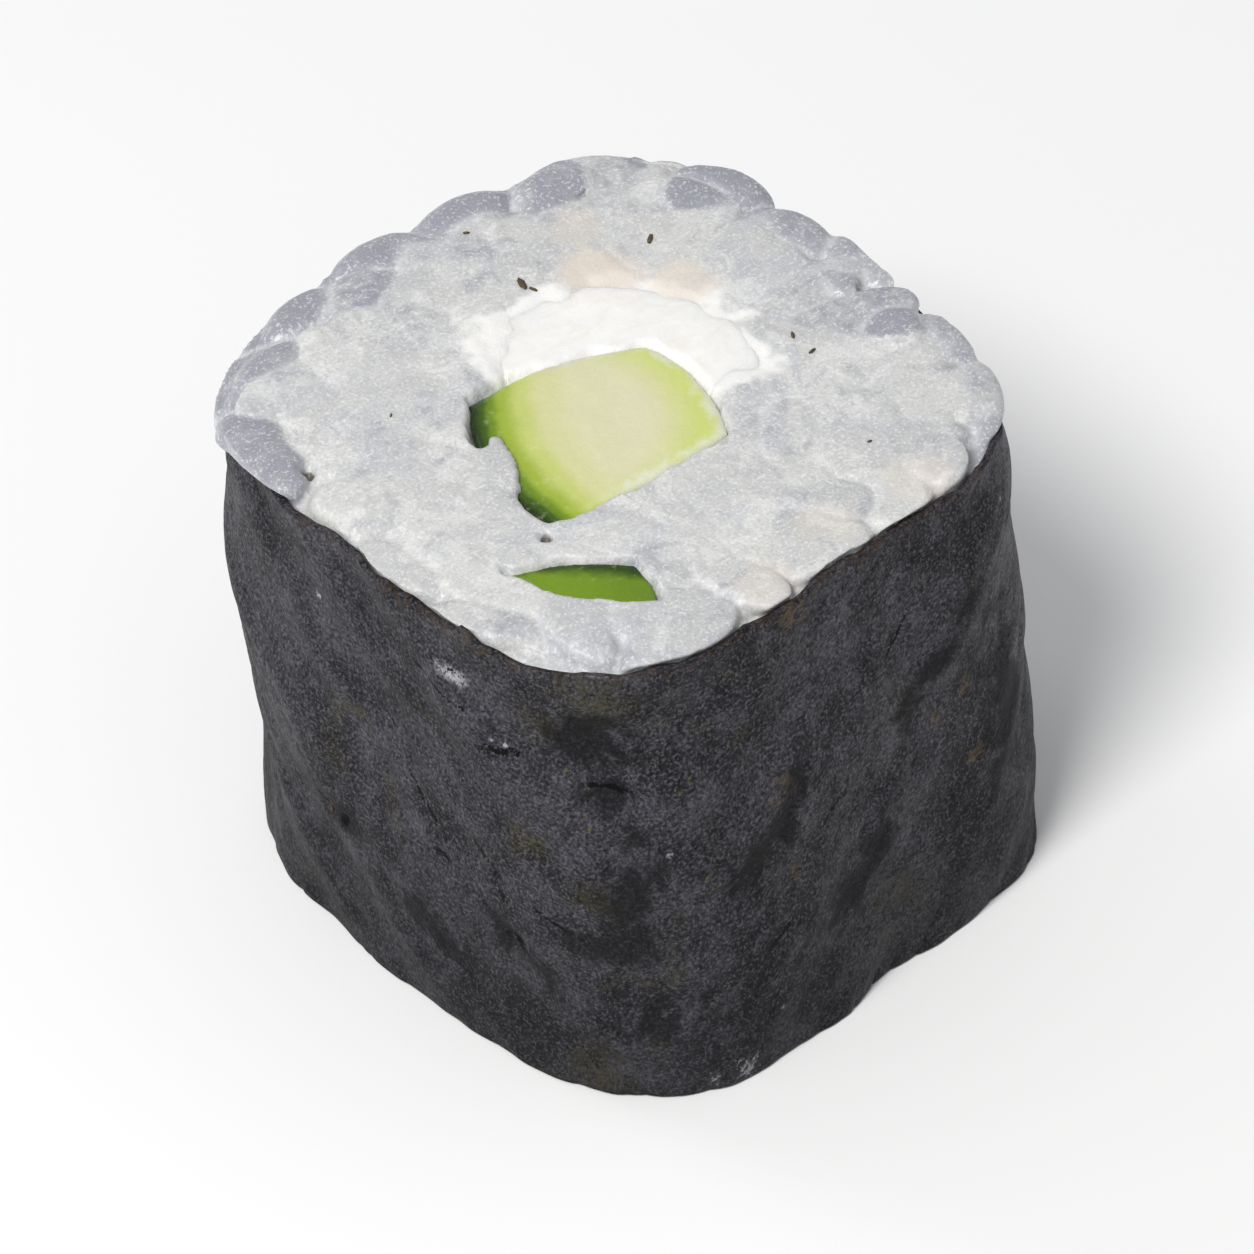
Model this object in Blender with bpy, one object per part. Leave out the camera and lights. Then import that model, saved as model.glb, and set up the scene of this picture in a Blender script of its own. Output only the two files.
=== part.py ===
"""One slice of a cucumber roll, standing on its cut face: nori round rice, with a
cucumber stick, a strip of cucumber skin and soft cheese running through it.

Metres, +Z up. The origin is the middle of the lower cut face, and the flat sides of
the roll face +X, -X, +Y and -Y.
"""

import math
import random

import bmesh
import bpy
from mathutils import Euler, Matrix, Vector

MM = 0.001

# The roll. A 196 mm roll in eight slices gives the height.
ROLL_WIDTH = 30.2 * MM
PIECE_HEIGHT = 24.5 * MM
SQUARENESS = 3.6
# Waves round the outline: (number, share of the radius, start in degrees).
# The first draws the roll out along the diagonal from -X-Y to +X+Y.
UNEVEN_WAVES = ((2, 0.022, -90), (3, 0.009, 40), (5, 0.006, 200), (7, 0.004, 75))
BARREL = 0.25 * MM
TWIST = math.radians(-3)
LEAN = Vector((0.85, -1.8)) * MM

# The nori sheet, its folds and its overlap on the +X side.
NORI_THICKNESS = 0.5 * MM
NORI_FOOT = 0.3 * MM
RIM_DROP = 0.7 * MM
RIM_WAVES = ((2, 0.12 * MM, 30), (5, 0.12 * MM, 110), (9, 0.08 * MM, 10))
# Folds in the sheet: (waves round, slant in turns over the height, depth, start).
FOLDS = ((6, 0.55, 0.14 * MM, 20), (11, -0.8, 0.10 * MM, 140), (17, 0.7, 0.06 * MM, 250))
OVERLAP_FROM = math.radians(-26)
OVERLAP_TO = math.radians(20)
OVERLAP_RAMP = math.radians(8)
NORI_SIDES = 96
NORI_LEVELS = 7

# Neighbouring pieces keep this gap, as meshes hold rounded numbers.
FIT_GAP = 0.3 * MM
# How far a cutter passes the ends of the roll.
SPARE = 1.0 * MM
MERGE = 0.001 * MM

# Rice: a core, and whole grains fused on both cut faces.
CORE_SIDES = 64
CORE_LEVELS = 4
CORE_SINK = 0.6 * MM
CORE_SKIN = 0.1 * MM
# The rice bulges over the rim, most of all on this side, where the rim lies deeper.
OVERHANG = 0.3 * MM
BULGE = 0.6 * MM
BULGE_DROP = 0.9 * MM
BULGE_SIDE = math.radians(85)
GRAIN_SIZE = Vector((6.4, 3.3, 2.9)) * MM
GRAIN_SIDES = 6
GRAIN_RINGS = 4
GRAIN_SINK = 0.75 * MM
GRAIN_SPREAD = 0.35 * MM
GRAIN_TILT = math.radians(18)
KNIFE_STEP = 0.16 * MM
KNIFE_SLANT = 0.035
EDGE_GRAINS = 21
EDGE_INSET = 1.8 * MM
ROW_PITCH = 3.3 * MM
GRAIN_PITCH = 4.4 * MM
CLEAR_OF_EDGE = 3.3 * MM
LARGEST_JITTER = 0.5 * MM
SEED = 8

# Fillings, as chains of arcs: each entry is (x, y, bulge of the arc that ends there).
CUCUMBER_ARCS = (
    (-8.0, -3.6, 0.35),
    (-4.9, 5.1, 0.9),
    (3.4, 2.6, 0.7),
    (3.4, -0.9, 0.3),
    (2.0, -4.2, 0.2),
)
STRIP_ARCS = ((-11.7, -4.6, 0.85), (-7.0, -7.9, 0.45), (-8.0, -10.4, 0.2))
CHEESE_ARCS = (
    (-2.6, 4.2, 0.0),
    (-1.2, 7.9, 0.4),
    (4.4, 7.5, 0.6),
    (7.6, 2.2, 0.6),
    (6.0, -2.2, 0.5),
    (2.6, -1.4, 0.0),
)
ARC_STEPS = 6
FILLING_SINK = 0.25 * MM
CHEESE_SINK = 0.4 * MM

NORI_COLOUR = (0.030, 0.030, 0.033)
RICE_COLOUR = (0.68, 0.68, 0.68)
CUCUMBER_COLOUR = (0.55, 0.60, 0.24)
SKIN_COLOUR = (0.07, 0.14, 0.02)
CHEESE_COLOUR = (0.88, 0.87, 0.85)


def clear_scene():
    for obj in list(bpy.data.objects):
        bpy.data.objects.remove(obj, do_unlink=True)


def wave_sum(waves, angle):
    return sum(size * math.cos(count * angle + math.radians(start)) for count, size, start in waves)


def outline_radius(angle):
    """From the axis to the outside of the nori, before folds."""
    across = abs(math.cos(angle)) ** SQUARENESS + abs(math.sin(angle)) ** SQUARENESS
    return ROLL_WIDTH / 2 * across ** (-1 / SQUARENESS) * (1 + wave_sum(UNEVEN_WAVES, angle))


def fold_depth(angle, share):
    return sum(
        depth * math.cos(count * angle + math.tau * slant * share + math.radians(start))
        for count, slant, depth, start in FOLDS
    )


def wall_point(angle, height, inset=0.0):
    """A point on the nori's outer face, or this far inside it, at a height on the roll."""
    share = height / PIECE_HEIGHT
    turn = TWIST * (share - 0.5)

    def face(at):
        radius = outline_radius(at) + BARREL * math.sin(math.pi * share) + fold_depth(at, share)
        return radius * Vector((math.cos(at + turn), math.sin(at + turn)))

    along = (face(angle + 0.02) - face(angle - 0.02)).normalized()
    outward = Vector((along.y, -along.x))
    point = face(angle) - outward * inset + LEAN * (0.5 - share)
    return Vector((point.x, point.y, height))


def bulge_share(angle):
    """1 in the middle of the side where the rice bulges most, down to 0 a quarter turn on."""
    return max(0.0, math.cos(angle - BULGE_SIDE)) ** 1.5


def rim_height(angle):
    drop = RIM_DROP + BULGE_DROP * bulge_share(angle)
    return PIECE_HEIGHT - drop + wave_sum(RIM_WAVES, angle)


def overhang(angle):
    """How far the rice may reach over the outside of the nori."""
    return OVERHANG + BULGE * bulge_share(angle)


def overlap_share(angle):
    """1 where two layers of nori lie on each other, rising on a ramp over the inner
    end and falling in a step at the outer end."""
    turn = (angle + math.pi) % math.tau - math.pi
    if not OVERLAP_FROM < turn < OVERLAP_TO:
        return 0.0
    return min(1.0, (turn - OVERLAP_FROM) / OVERLAP_RAMP)


def arc_chain(arcs):
    """A closed outline, counter-clockwise or clockwise as listed, from arcs in millimetres."""
    points = []
    for i, (x, y, bulge) in enumerate(arcs):
        start = Vector(arcs[i - 1][:2])
        end = Vector((x, y))
        side = Vector((start.y - end.y, end.x - start.x)).normalized()
        for step in range(1, ARC_STEPS + 1):
            t = step / ARC_STEPS
            rise = bulge * 4 * t * (1 - t)
            points.append((start.lerp(end, t) + side * rise) * MM)
    return points


def grown(outline, distance):
    """The outline moved outwards by the distance, corners kept."""
    area = sum(a.cross(b) for a, b in zip(outline, outline[1:] + outline[:1]))
    sign = math.copysign(1.0, area)
    moved = []
    for i, point in enumerate(outline):
        before = (point - outline[i - 1]).normalized()
        after = (outline[(i + 1) % len(outline)] - point).normalized()
        along = (before + after).normalized()
        stretch = 1 / max(0.5, along.dot(before))
        moved.append(point + Vector((along.y, -along.x)) * sign * distance * stretch)
    return moved


def contains(outline, point):
    """Whether the point is inside, by the number of edges crossed to its right."""
    crossed = False
    for a, b in zip(outline, outline[1:] + outline[:1]):
        if (a.y > point.y) != (b.y > point.y):
            at = a.x + (point.y - a.y) * (b.x - a.x) / (b.y - a.y)
            crossed ^= point.x < at
    return crossed


def ordered_mesh(name, bm):
    """The mesh with its points rounded, its points and faces in one order, and its
    faces split into triangles, so that each run gives the same Booleans."""
    for vert in bm.verts:
        vert.co = [round(value, 7) for value in vert.co]
    verts = sorted(bm.verts, key=lambda v: tuple(v.co))
    index = {v: i for i, v in enumerate(verts)}
    faces = []
    for face in bm.faces:
        corners = [index[v] for v in face.verts]
        first = corners.index(min(corners))
        faces.append(corners[first:] + corners[:first])
    mesh = bpy.data.meshes.new(name)
    mesh.from_pydata([v.co for v in verts], [], sorted(faces))
    bm.clear()
    bm.from_mesh(mesh)
    bmesh.ops.triangulate(bm, faces=bm.faces)
    bm.to_mesh(mesh)
    bm.free()
    return mesh


def new_object(name, bm, colour, roughness):
    bmesh.ops.recalc_face_normals(bm, faces=bm.faces)
    mesh = ordered_mesh(name, bm)
    obj = bpy.data.objects.new(name, mesh)
    bpy.context.scene.collection.objects.link(obj)
    material = bpy.data.materials.new(name)
    material.use_nodes = True
    shader = material.node_tree.nodes["Principled BSDF"]
    shader.inputs["Base Color"].default_value = (*colour, 1)
    shader.inputs["Roughness"].default_value = roughness
    mesh.materials.append(material)
    return obj


def tube(sides, rows, place):
    """A grid rolled up, which place(angle, row) puts in shape, from row 0 to the last."""
    bm = bmesh.new()
    bmesh.ops.create_grid(bm, x_segments=sides, y_segments=rows, size=0.5)
    for vert in bm.verts:
        vert.co = place(math.tau * (vert.co.x + 0.5), round((vert.co.y + 0.5) * rows))
    bmesh.ops.remove_doubles(bm, verts=bm.verts, dist=MERGE)
    return bm


def cap_ends(bm):
    """Closes both ends with fans, so that a cut through a cap leaves no face with a hole."""
    caps = bmesh.ops.holes_fill(bm, edges=bm.edges, sides=0)["faces"]
    bmesh.ops.poke(bm, faces=caps)
    return bm


def prism(outline, low, high):
    def place(angle, row):
        point = outline[round(angle / math.tau * len(outline)) % len(outline)]
        return Vector((point.x, point.y, (low, high)[row]))

    bm = tube(len(outline), 1, place)
    bmesh.ops.holes_fill(bm, edges=bm.edges, sides=0)
    return bm


def islands(bm):
    """Groups of faces that share edges."""
    waiting = set(bm.faces)
    for start in bm.faces:
        if start not in waiting:
            continue
        waiting.remove(start)
        group = [start]
        for face in group:
            near = [other for edge in face.edges for other in edge.link_faces]
            for other in near:
                if other in waiting:
                    waiting.remove(other)
                    group.append(other)
        yield group


def boolean(target, other, operation):
    """Applies one Boolean to the target, keeps its body, and drops loose scraps and the
    skins of sealed hollows. The other is an object or a collection, and is removed."""
    modifier = target.modifiers.new(operation, "BOOLEAN")
    modifier.operation = operation
    modifier.solver = "EXACT"
    if isinstance(other, bpy.types.Collection):
        modifier.operand_type = "COLLECTION"
        modifier.collection = other
    else:
        modifier.object = other
    graph = bpy.context.evaluated_depsgraph_get()
    bm = bmesh.new()
    bm.from_object(target, graph)
    target.modifiers.clear()
    groups = sorted(islands(bm), key=len)
    for group in groups[:-1]:
        bmesh.ops.delete(bm, geom=group, context="FACES")
    material = target.active_material
    target.data = ordered_mesh(target.name, bm)
    target.data.materials.append(material)
    if isinstance(other, bpy.types.Collection):
        for obj in list(other.objects):
            bpy.data.objects.remove(obj)
        bpy.data.collections.remove(other)
    else:
        bpy.data.objects.remove(other)


def shade(obj):
    obj.data.shade_smooth()
    obj.data.set_sharp_from_angle(angle=math.radians(35))


def make_nori():
    """The sheet as one closed strip: up its outer face, over the rim and down inside."""

    def place(angle, row):
        outside = row % (2 * NORI_LEVELS) < NORI_LEVELS
        level = row % NORI_LEVELS
        share = (level if outside else NORI_LEVELS - 1 - level) / (NORI_LEVELS - 1)
        inset = -NORI_THICKNESS * overlap_share(angle) if outside else NORI_THICKNESS
        height = NORI_FOOT + share * (rim_height(angle) - NORI_FOOT)
        return wall_point(angle, height, inset)

    nori = new_object("nori_wrap", tube(NORI_SIDES, 2 * NORI_LEVELS, place), NORI_COLOUR, 0.5)
    shade(nori)
    return nori


def make_filling(name, arcs, sink, colour):
    """A strip that runs through the rice, cut flush at both ends."""
    obj = new_object(name, prism(arc_chain(arcs), 0, PIECE_HEIGHT - sink), colour, 0.35)
    shade(obj)
    return obj


def filling_cutter(arcs):
    """The strip's own shape grown by the fit gap, and longer than the roll."""
    outline = grown(arc_chain(arcs), FIT_GAP)
    return new_object("cutter", prism(outline, -SPARE, PIECE_HEIGHT + SPARE), RICE_COLOUR, 0.5)


def rice_core():
    inset = NORI_THICKNESS + FIT_GAP + CORE_SKIN

    def place(angle, row):
        height = CORE_SINK + (PIECE_HEIGHT - 2 * CORE_SINK) * row / CORE_LEVELS
        return wall_point(angle, height, inset)

    core = cap_ends(tube(CORE_SIDES, CORE_LEVELS, place))
    return new_object("rice", core, RICE_COLOUR, 0.45)


def rice_space():
    """All the room that rice may fill: inside the nori, and a little over its rim.
    It is longer than the roll at both ends, where the grains are cut one by one."""

    def place(angle, row):
        shelf = rim_height(angle) + FIT_GAP
        if row <= NORI_LEVELS:
            height = shelf * row / NORI_LEVELS if row else -SPARE
            return wall_point(angle, height, NORI_THICKNESS + FIT_GAP)
        height = shelf if row == NORI_LEVELS + 1 else PIECE_HEIGHT + SPARE
        return wall_point(angle, height, -overhang(angle))

    space = cap_ends(tube(NORI_SIDES, NORI_LEVELS + 2, place))
    return new_object("space", space, RICE_COLOUR, 0.5)


def edge_spots(draw):
    """Grains that lie along the rim: (x, y, heading)."""
    first = draw.random() * math.tau
    for i in range(EDGE_GRAINS):
        angle = first + math.tau * (i + draw.uniform(-0.18, 0.18)) / EDGE_GRAINS
        inset = EDGE_INSET - overhang(angle)
        spot = wall_point(angle, PIECE_HEIGHT, inset)
        along = wall_point(angle + 0.1, PIECE_HEIGHT, inset) - spot
        yield spot.x, spot.y, math.atan2(along.y, along.x) + draw.uniform(-0.5, 0.5)


def inner_spots(draw):
    """Grains in uneven rows over the rest of the face, left out where a filling shows."""
    turns = [math.tau * i / CORE_SIDES for i in range(CORE_SIDES)]
    room = [wall_point(angle, PIECE_HEIGHT, CLEAR_OF_EDGE).to_2d() for angle in turns]
    fillings = [arc_chain(arcs) for arcs in (CUCUMBER_ARCS, STRIP_ARCS, CHEESE_ARCS)]
    reach = ROLL_WIDTH * 0.7
    rows = int(2 * reach / ROW_PITCH)
    for row in range(rows):
        shift = GRAIN_PITCH / 2 * (row % 2)
        for place in range(int(2 * reach / GRAIN_PITCH)):
            x = place * GRAIN_PITCH + shift - reach + draw.uniform(-1, 1) * LARGEST_JITTER
            y = row * ROW_PITCH - reach + draw.uniform(-1, 1) * LARGEST_JITTER
            heading = draw.uniform(0, math.pi)
            spot = Vector((x, y))
            if contains(room, spot) and not any(contains(f, spot) for f in fillings):
                yield x, y, heading


def cut_flat(bm, draw, point, up):
    """Cuts the grain where the knife passed, each at its own slight depth and slant."""
    slant = Vector((draw.uniform(-1, 1), draw.uniform(-1, 1))) * KNIFE_SLANT
    normal = Vector((slant.x, slant.y, up)).normalized()
    point.z -= up * (draw.random() * KNIFE_STEP + GRAIN_SIZE.x / 2 * slant.length)
    geometry = bm.verts[:] + bm.edges[:] + bm.faces[:]
    cut = bmesh.ops.bisect_plane(
        bm, geom=geometry, plane_co=point, plane_no=normal, clear_outer=True
    )
    edges = [e for e in cut["geom_cut"] if isinstance(e, bmesh.types.BMEdge)]
    bmesh.ops.edgeloop_fill(bm, edges=edges)


def add_grain(collection, draw, x, y, heading, plane, up):
    """One grain with few sides, sunk into the cut face so that the knife's plane cuts it."""
    bm = bmesh.new()
    bmesh.ops.create_uvsphere(bm, u_segments=GRAIN_SIDES, v_segments=GRAIN_RINGS, radius=0.54)
    size = GRAIN_SIZE * draw.uniform(0.9, 1.08)
    lying = Matrix.Rotation(math.pi / 2, 4, "Y")
    tilt = Euler((draw.uniform(0, math.pi), draw.uniform(-GRAIN_TILT, GRAIN_TILT), heading))
    depth = GRAIN_SINK + draw.uniform(-GRAIN_SPREAD, GRAIN_SPREAD)
    place = Matrix.Translation((x, y, plane - up * depth))
    shape = Matrix.Diagonal((*size, 1))
    bm.transform(place @ tilt.to_matrix().to_4x4() @ shape @ lying)
    cut_flat(bm, draw, Vector((x, y, plane)), up)
    grain = new_object("grain", bm, RICE_COLOUR, 0.45)
    bpy.context.scene.collection.objects.unlink(grain)
    collection.objects.link(grain)


def make_rice():
    draw = random.Random(SEED)
    grains = bpy.data.collections.new("grains")
    bpy.context.scene.collection.children.link(grains)
    for plane, up in ((PIECE_HEIGHT, 1), (0.0, -1)):
        for spots in (edge_spots(draw), inner_spots(draw)):
            for x, y, heading in spots:
                add_grain(grains, draw, x, y, heading, plane, up)
    rice = rice_core()
    boolean(rice, grains, "UNION")
    boolean(rice, rice_space(), "INTERSECT")
    for arcs in (CUCUMBER_ARCS, STRIP_ARCS, CHEESE_ARCS):
        boolean(rice, filling_cutter(arcs), "DIFFERENCE")
    shade(rice)
    return rice


def centre_on_origin():
    """Moves the whole piece so that its box is centred over the origin."""
    objects = list(bpy.data.objects)
    spots = [v.co for obj in objects for v in obj.data.vertices]
    middle = [(min(p[i] for p in spots) + max(p[i] for p in spots)) / 2 for i in (0, 1)]
    for obj in objects:
        obj.data.transform(Matrix.Translation((-middle[0], -middle[1], 0)))


def main():
    clear_scene()
    make_nori()
    make_filling("cucumber_stick", CUCUMBER_ARCS, FILLING_SINK, CUCUMBER_COLOUR)
    make_filling("cucumber_strip", STRIP_ARCS, FILLING_SINK, SKIN_COLOUR)
    cheese = make_filling("soft_cheese", CHEESE_ARCS, CHEESE_SINK, CHEESE_COLOUR)
    boolean(cheese, filling_cutter(CUCUMBER_ARCS), "DIFFERENCE")
    make_rice()
    centre_on_origin()


main()
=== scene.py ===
"""One slice of a cucumber roll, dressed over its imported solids: pressed rice, a nori
sheet, cucumber and soft cheese. Metres, +Z up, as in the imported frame."""

import math

import bmesh
import bpy
import numpy as np
from mathutils import Matrix, Vector, noise
from mathutils.bvhtree import BVHTree


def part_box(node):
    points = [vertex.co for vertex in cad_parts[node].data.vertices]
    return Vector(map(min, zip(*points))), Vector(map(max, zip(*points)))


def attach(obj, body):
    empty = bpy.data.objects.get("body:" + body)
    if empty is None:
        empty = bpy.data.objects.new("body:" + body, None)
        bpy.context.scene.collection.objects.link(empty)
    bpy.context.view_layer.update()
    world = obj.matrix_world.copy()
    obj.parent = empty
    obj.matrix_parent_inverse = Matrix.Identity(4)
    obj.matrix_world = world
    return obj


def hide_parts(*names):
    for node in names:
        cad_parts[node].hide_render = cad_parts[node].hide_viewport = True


MM = 0.001

# Where the photograph was taken from: the turn round the piece and the angle above it.
CAMERA_TURN = math.radians(-42.9)
CAMERA_RISE = math.radians(40.5)
ACROSS = np.array((math.cos(CAMERA_TURN), math.sin(CAMERA_TURN)))
AWAY = np.array((-math.sin(CAMERA_TURN), math.cos(CAMERA_TURN)))
FACE_MIDDLE = np.array((-0.49, 0.89)) * MM

# The form of the roll, as in its solids.
ROLL_WIDTH = 30.2 * MM
PIECE_HEIGHT = 24.5 * MM
SQUARENESS = 3.6
UNEVEN_WAVES = ((2, 0.022, -90), (3, 0.009, 40), (5, 0.006, 200), (7, 0.004, 75))
BARREL = 0.25 * MM
TWIST = math.radians(-3)
LEAN = np.array((0.85, -1.8)) * MM
FOLDS = ((6, 0.55, 0.08 * MM, 20), (11, -0.8, 0.05 * MM, 140), (17, 0.7, 0.03 * MM, 250))
RIM_WAVES = ((2, 0.12 * MM, 30), (5, 0.12 * MM, 110), (9, 0.08 * MM, 10))
# Angles round the roll: the far sides and the swollen left corner, with how far each
# reaches, and the ridge in front.
FAR_SIDE = math.radians(52)
FAR_REACH = math.radians(100)
SWELL_SIDE = math.radians(100)
SWELL_REACH = math.radians(78)
FRONT_RIDGE = math.radians(225)
# The rice over the rim, in millimetres: on the near sides, and what the others add.
NEAR_OVERHANG = 0.22
FAR_OVERHANG = 0.15
SWELL_OVERHANG = 0.55
# Outlines of the fillings: each arc's end and how far it bulges, in millimetres.
CUCUMBER_ARCS = (
    (-8.0, -3.6, 0.35), (-4.9, 5.1, 0.9), (3.4, 2.6, 0.7), (3.4, -0.9, 0.3), (2.0, -4.2, 0.2),
)
STRIP_ARCS = ((-11.7, -4.6, 0.85), (-7.0, -7.9, 0.45), (-8.0, -10.4, 0.2))
CHEESE_ARCS = (
    (-2.6, 4.2, 0.0), (-1.2, 7.9, 0.4), (4.4, 7.5, 0.6), (7.6, 2.2, 0.6), (6.0, -2.2, 0.5),
    (2.6, -1.4, 0.0),
)
ARC_STEPS = 10

# The nori sheet.
SHEET_THICKNESS = 0.28 * MM
SHEET_FOOT = 0.12 * MM
SHEET_SIDES = 440
SHEET_ROWS = 92
NEAR_RIM_DROP = 0.30 * MM
FAR_RIM_DROP = 0.60 * MM
SWELL_RIM_DROP = 0.55 * MM
OVERLAP_FROM = math.radians(-26)
OVERLAP_TO = math.radians(20)
OVERLAP_RISE = 0.42 * MM
TONGUE_SIDE = math.radians(209)
TONGUE_RISE = 0.60 * MM
POCKET_WIDTH = 0.05
WELD = 0.01 * MM
# Turns an angle round the sheet into a length.
WALL_GIRTH = 16 * MM

# Rice grains: half lengths across a grain, and how they lie.
GRAIN_HALF = np.array((3.15, 1.55, 1.3)) * MM
FIELD_GRAINS = 66
RIM_GRAINS = 21
LOWER_GRAINS = 85
GRAIN_FIELD = 17
ROOM_INSET = 1.9 * MM
LAID_GAP = 3.6 * MM
CLEAR_OF_CUCUMBER = 1.25 * MM
CLEAR_OF_CHEESE = 0.9 * MM
TIGHTNESS = 0.84
SEED = 31
# Where the rice is held inside the sheet, and how soft that limit is.
WALL_ZONE = 2.5 * MM
SOFT_LIMIT = 0.18 * MM


# Form of the roll.


def wave_sum(waves, angle):
    return sum(size * np.cos(count * angle + math.radians(start)) for count, size, start in waves)


def wall_radius(angle, share):
    """From the roll's axis to the outside of the nori, at a share of the height."""
    across = np.abs(np.cos(angle)) ** SQUARENESS + np.abs(np.sin(angle)) ** SQUARENESS
    radius = ROLL_WIDTH / 2 * across ** (-1 / SQUARENESS) * (1 + wave_sum(UNEVEN_WAVES, angle))
    for count, slant, depth, start in FOLDS:
        radius = radius + depth * np.cos(
            count * angle + math.tau * slant * share + math.radians(start)
        )
    return radius + BARREL * np.sin(math.pi * np.clip(share, 0, 1))


def wall_points(angle, height, inset=0.0):
    """Points (x, y) on the nori's outer face, or this far inside it."""
    share = height / PIECE_HEIGHT
    turn = TWIST * (share - 0.5)

    def face(at):
        radius = wall_radius(at, share)
        return np.stack((radius * np.cos(at + turn), radius * np.sin(at + turn)), axis=-1)

    along = face(angle + 0.02) - face(angle - 0.02)
    along /= np.linalg.norm(along, axis=-1, keepdims=True)
    outward = np.stack((along[..., 1], -along[..., 0]), axis=-1)
    lean = np.multiply.outer(0.5 - np.asarray(share, float), LEAN)
    return face(angle) - outward * np.expand_dims(inset, -1) + lean + CENTRE


def wall_spot(angle, height, inset=0.0):
    """One point (x, y) on the nori's outer face, or this far inside it."""
    return wall_points(np.array([angle]), np.array([height]), inset)[0]


def wall_ring(steps, height, inset=0.0):
    """A closed outline round the wall at one height."""
    turns = np.linspace(0, math.tau, steps, endpoint=False)
    return wall_points(turns, np.full(steps, height), inset)


def wall_place(points):
    """The angle and the distance from the axis of points, as wall_radius counts them."""
    share = points[:, 2] / PIECE_HEIGHT
    flat = points[:, :2] - CENTRE - np.multiply.outer(0.5 - share, LEAN)
    angle = np.arctan2(flat[:, 1], flat[:, 0]) - TWIST * (share - 0.5)
    return angle, np.linalg.norm(flat, axis=1)


def angle_gap(angle, other):
    return (angle - other + math.pi) % math.tau - math.pi


def far_share(angle):
    """1 on the two far sides, where whole grains show at the rim, to 0 on the near ones."""
    return smooth_step(1.1, 0.88, np.abs(angle_gap(angle, FAR_SIDE)) / FAR_REACH)


def swell_share(angle):
    """1 where the rice swells most over the nori, at the left corner and behind it."""
    return smooth_step(1.0, 0.55, np.abs(angle_gap(angle, SWELL_SIDE)) / SWELL_REACH)


def rim_height(angle):
    drop = NEAR_RIM_DROP + FAR_RIM_DROP * far_share(angle) + SWELL_RIM_DROP * swell_share(angle)
    return PIECE_HEIGHT - drop + wave_sum(RIM_WAVES, angle)


def overhang(angle):
    """How far the rice stands out over the rim."""
    more = FAR_OVERHANG * far_share(angle)
    return (NEAR_OVERHANG + more + SWELL_OVERHANG * swell_share(angle)) * MM


def pocket_depth(angle):
    """How far the rice falls short behind the torn tongue of the sheet."""
    return MM * np.exp(-((angle_gap(angle, TONGUE_SIDE) / POCKET_WIDTH) ** 2))


def arc_chain(arcs):
    """A closed outline from arcs in millimetres."""
    points = []
    for i, (x, y, bulge) in enumerate(arcs):
        start = Vector(arcs[i - 1][:2])
        end = Vector((x, y))
        side = Vector((start.y - end.y, end.x - start.x)).normalized()
        for step in range(1, ARC_STEPS + 1):
            t = step / ARC_STEPS
            points.append(start.lerp(end, t) + side * bulge * 4 * t * (1 - t))
    return np.array(points) * MM + CENTRE


def seen_from_front(across, away):
    """(x, y) of a spot on the cut face, in millimetres across and away from the camera."""
    return CENTRE + FACE_MIDDLE + (across * ACROSS + away * AWAY) * MM


def signed_distance(points, outline):
    """Distances from a closed outline, below zero inside it."""
    start = outline
    span = np.roll(outline, -1, axis=0) - start
    to = points[:, None] - start[None]
    share = np.clip((to * span).sum(2) / (span * span).sum(1), 0, 1)
    gap = np.linalg.norm(to - share[..., None] * span, axis=2).min(1)
    above = start[None, :, 1] > points[:, None, 1]
    passed = above != np.roll(above, -1, axis=1)
    rise = np.where(span[:, 1] == 0, 1, span[:, 1])
    cross = start[:, 0] + (points[:, None, 1] - start[:, 1]) * span[:, 0] / rise
    inside = (passed & (points[:, None, 0] < cross)).sum(1) % 2 == 1
    return np.where(inside, -gap, gap)


def smooth_step(low, high, value):
    share = np.clip((value - low) / (high - low), 0, 1)
    return share * share * (3 - 2 * share)


def noise_at(points, size, seed=0.0, stretch=(1, 1, 1)):
    """Smooth noise from about -1 to 1 at points, with features this many millimetres wide."""
    scale = np.array(stretch) / (size * MM)
    shift = Vector((seed, -seed, 2 * seed))
    return np.array([noise.noise(Vector(point) + shift) for point in points * scale])


# Meshes.


def add_object(name, data):
    thing = bpy.data.objects.new(name, data)
    bpy.context.scene.collection.objects.link(thing)
    return thing


def aim(thing, place, target):
    thing.location = place
    thing.rotation_euler = (Vector(target) - Vector(place)).to_track_quat("-Z", "Y").to_euler()


def add_piece(name, bm, material):
    mesh = bpy.data.meshes.new(name)
    bm.to_mesh(mesh)
    bm.free()
    piece = add_object(name, mesh)
    mesh.materials.append(material)
    mesh.shade_smooth()
    return piece


def apply_modifier(piece, kind, **settings):
    modifier = piece.modifiers.new(kind, kind)
    for key, value in settings.items():
        setattr(modifier, key, value)
    graph = bpy.context.evaluated_depsgraph_get()
    mesh = bpy.data.meshes.new_from_object(piece.evaluated_get(graph))
    piece.modifiers.clear()
    old = piece.data
    piece.data = mesh
    bpy.data.meshes.remove(old)
    mesh.shade_smooth()


def points_of(piece):
    flat = np.empty(len(piece.data.vertices) * 3)
    piece.data.vertices.foreach_get("co", flat)
    return flat.reshape(-1, 3)


def move_points(piece, points):
    piece.data.vertices.foreach_set("co", points.ravel())
    piece.data.update()


def store(piece, name, values):
    """Keeps one number at each point, for the material to read."""
    piece.data.attributes.new(name, "FLOAT", "POINT").data.foreach_set("value", values)


def add_bar(bm, outline, low, high):
    """Adds a closed prism on an outline."""
    base = bm.faces.new([bm.verts.new((x, y, low)) for x, y in outline])
    top = bmesh.ops.extrude_face_region(bm, geom=[base], use_keep_orig=True)["geom"]
    raised = [v for v in top if isinstance(v, bmesh.types.BMVert)]
    bmesh.ops.translate(bm, verts=raised, vec=(0, 0, high - low))


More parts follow.
